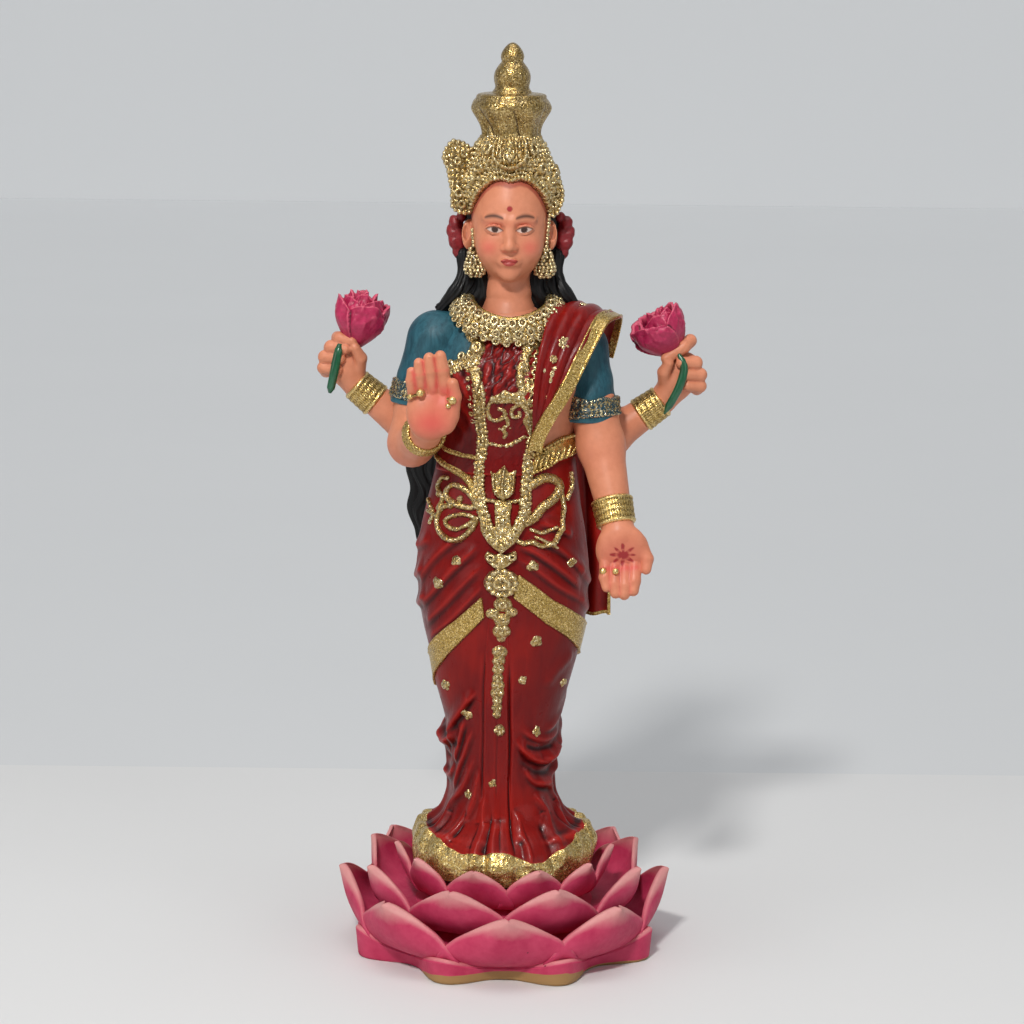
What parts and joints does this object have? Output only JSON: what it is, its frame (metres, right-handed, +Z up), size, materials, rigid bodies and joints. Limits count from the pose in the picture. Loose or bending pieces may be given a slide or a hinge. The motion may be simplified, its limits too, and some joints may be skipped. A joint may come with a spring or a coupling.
{
  "type": "standing goddess statuette",
  "caption": "Painted resin statuette of a four-armed goddess in a red sari, one hand raised, one lowered, two holding lotus buds, standing on an open lotus base.",
  "frame": {"origin": "centre of the underside of the felt pad, on the surface the statuette stands on", "axes": "+Z up along the figure, the figure faces -Y, +X is the figure's own left side"},
  "size_m": [0.1306, 0.11, 0.3],
  "materials": {
    "felt": "pressed felt",
    "lotus_pink": "matt crimson-pink paint on cast resin, paler at the tips",
    "lotus_pod": "matt tan-gold paint on cast resin",
    "raw_resin": "unpainted cast resin, hidden",
    "steel": "plain steel",
    "sari_red": "deep red gloss lacquer over cast folds",
    "glitter_gold": "gold glitter paint, coarse metallic flakes",
    "skin": "warm satin skin paint, blushed at palms and cheeks",
    "hair_black": "black satin paint over cast strands",
    "blouse_blue": "teal-blue brushed paint",
    "bud_magenta": "crimson-magenta satin paint",
    "stem_green": "green gloss paint",
    "flower_red": "red satin paint"
  },
  "bodies": {
    "root": {"felt_pad": "felt", "lotus_core": "raw_resin", "lotus_seed_pod": "lotus_pod", "base_stud": "steel", "stud_washer": "steel", "stud_nut": "steel", "lotus_floor_petals": "lotus_pink", "lotus_outer_petals": "lotus_pink", "lotus_middle_petals": "lotus_pink", "lotus_inner_petals": "lotus_pink", "skirt_casting": "sari_red", "hem_border": "glitter_gold", "head_casting": "skin", "crown_dome": "glitter_gold", "crown_ring": "glitter_gold", "crown_finial": "glitter_gold", "crown_side_wings": "glitter_gold", "earrings": "glitter_gold", "lotus_buds": "bud_magenta", "lotus_stems": "stem_green", "drape_border": "glitter_gold", "sari_chest_drape": "sari_red", "blouse_bodice": "blouse_blue", "right_thigh_border": "glitter_gold", "left_thigh_border": "glitter_gold", "skirt_drop_ornament": "glitter_gold", "front_pleat_panel": "sari_red", "skirt_medallions": "glitter_gold", "pallu_tail_border": "glitter_gold", "pallu_tail": "sari_red", "long_garland": "glitter_gold", "garland_brooch": "glitter_gold", "lotus_pendant": "glitter_gold", "collar_bib": "glitter_gold", "waist_belt": "glitter_gold", "hip_swags": "glitter_gold", "neck_collar": "glitter_gold", "armature_pins": "steel", "torso_casting": "skin", "right_sleeve": "blouse_blue", "right_sleeve_cuff": "glitter_gold", "left_sleeve": "blouse_blue", "left_sleeve_cuff": "glitter_gold", "blessing_arm": "skin", "blessing_bangle": "glitter_gold", "blessing_hand": "skin", "giving_arm": "skin", "giving_bangle": "glitter_gold", "giving_hand": "skin", "rear_right_arm": "skin", "rear_right_bangle": "glitter_gold", "rear_right_hand": "skin", "rear_left_arm": "skin", "rear_left_bangle": "glitter_gold", "rear_left_hand": "skin", "shoulder_cloth": "sari_red", "hair_casting": "hair_black", "hair_flowers": "flower_red", "finger_rings": "glitter_gold"}
  },
  "joints": []
}
